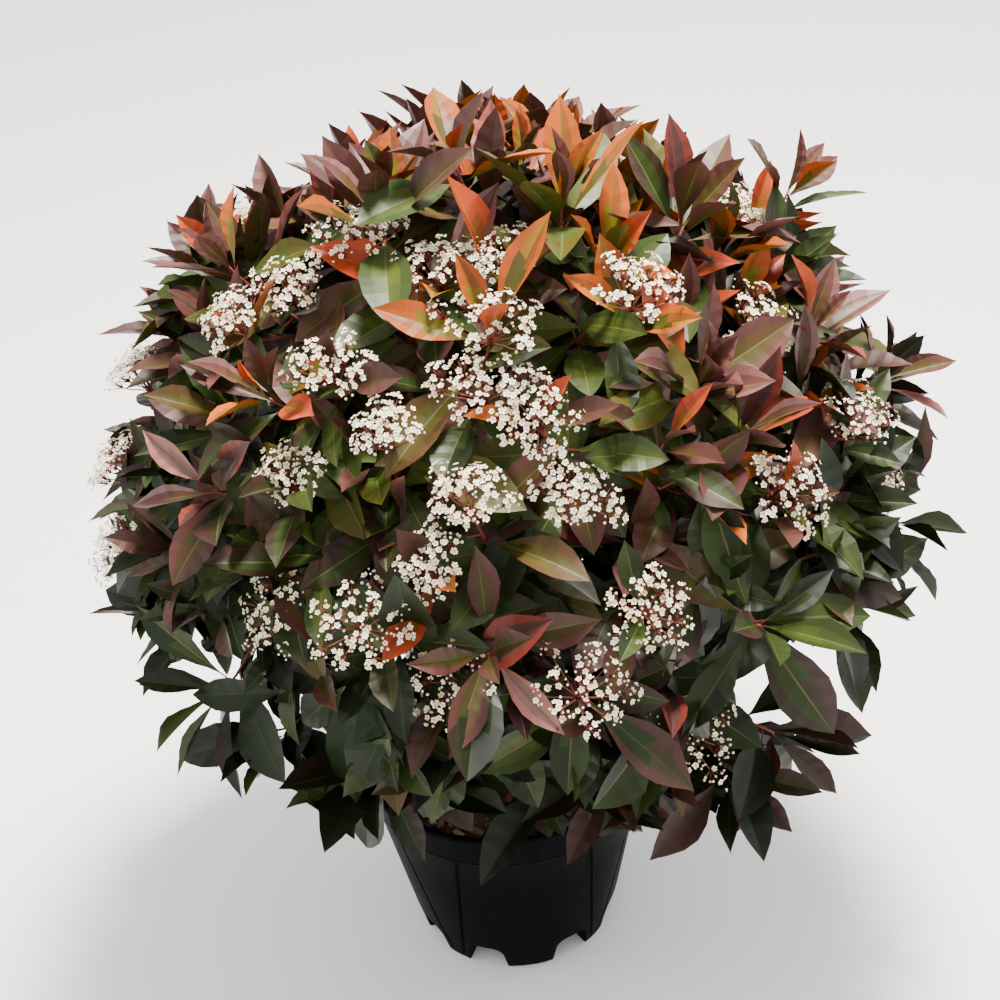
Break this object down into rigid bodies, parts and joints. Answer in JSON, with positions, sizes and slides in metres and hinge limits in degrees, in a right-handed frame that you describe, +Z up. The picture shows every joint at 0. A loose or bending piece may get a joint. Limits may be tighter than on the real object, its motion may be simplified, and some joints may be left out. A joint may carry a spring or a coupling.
{
  "type": "photinia red robin, a flowering shrub in its nursery pot",
  "caption": "Dense round evergreen shrub with dark green, bronze and red leaves and flat heads of small white flowers, in a round black nursery pot on moulded feet.",
  "frame": {"origin": "the middle of the pot's flat underside", "axes": "+Z up along the pot's axis, -Y towards the front, +X to the right as seen from the front"},
  "size_m": [0.9052, 0.8825, 1.076],
  "materials": {
    "pot": "satin black moulded plastic",
    "compost": "loose brown potting compost",
    "bark": "thin grey-brown bark",
    "foliage_top": "glossy orange-red and purple young leaves",
    "foliage_upper": "glossy bronze and red leaves over green ones",
    "foliage_middle": "glossy dark green leaves with bronze ones",
    "foliage_lower": "glossy dark green older leaves"
  },
  "bodies": {
    "root": {"pot": "pot", "compost": "compost", "stem": "bark", "bough_top": "bark", "bough_upper_1": "bark", "bough_upper_2": "bark", "bough_upper_3": "bark", "bough_upper_4": "bark", "bough_upper_5": "bark", "bough_middle_1": "bark", "bough_middle_2": "bark", "bough_middle_3": "bark", "bough_middle_4": "bark", "bough_middle_5": "bark", "bough_middle_6": "bark", "bough_middle_7": "bark", "bough_middle_8": "bark", "bough_middle_9": "bark", "bough_middle_10": "bark", "bough_lower_1": "bark", "bough_lower_2": "bark", "bough_lower_3": "bark", "bough_lower_4": "bark", "bough_lower_5": "bark", "bough_lower_6": "bark", "bough_lower_7": "bark", "bough_lower_8": "bark", "bough_lower_9": "bark", "bough_lower_10": "bark", "foliage_top": "foliage_top", "foliage_upper_1": "foliage_upper", "foliage_upper_2": "foliage_upper", "foliage_upper_3": "foliage_upper", "foliage_upper_4": "foliage_upper", "foliage_upper_5": "foliage_upper", "foliage_middle_1": "foliage_middle", "foliage_middle_2": "foliage_middle", "foliage_middle_3": "foliage_middle", "foliage_middle_4": "foliage_middle", "foliage_middle_5": "foliage_middle", "foliage_middle_6": "foliage_middle", "foliage_middle_7": "foliage_middle", "foliage_middle_8": "foliage_middle", "foliage_middle_9": "foliage_middle", "foliage_middle_10": "foliage_middle", "foliage_lower_1": "foliage_lower", "foliage_lower_2": "foliage_lower", "foliage_lower_3": "foliage_lower", "foliage_lower_4": "foliage_lower", "foliage_lower_5": "foliage_lower", "foliage_lower_6": "foliage_lower", "foliage_lower_7": "foliage_lower", "foliage_lower_8": "foliage_lower", "foliage_lower_9": "foliage_lower", "foliage_lower_10": "foliage_lower"}
  },
  "joints": []
}
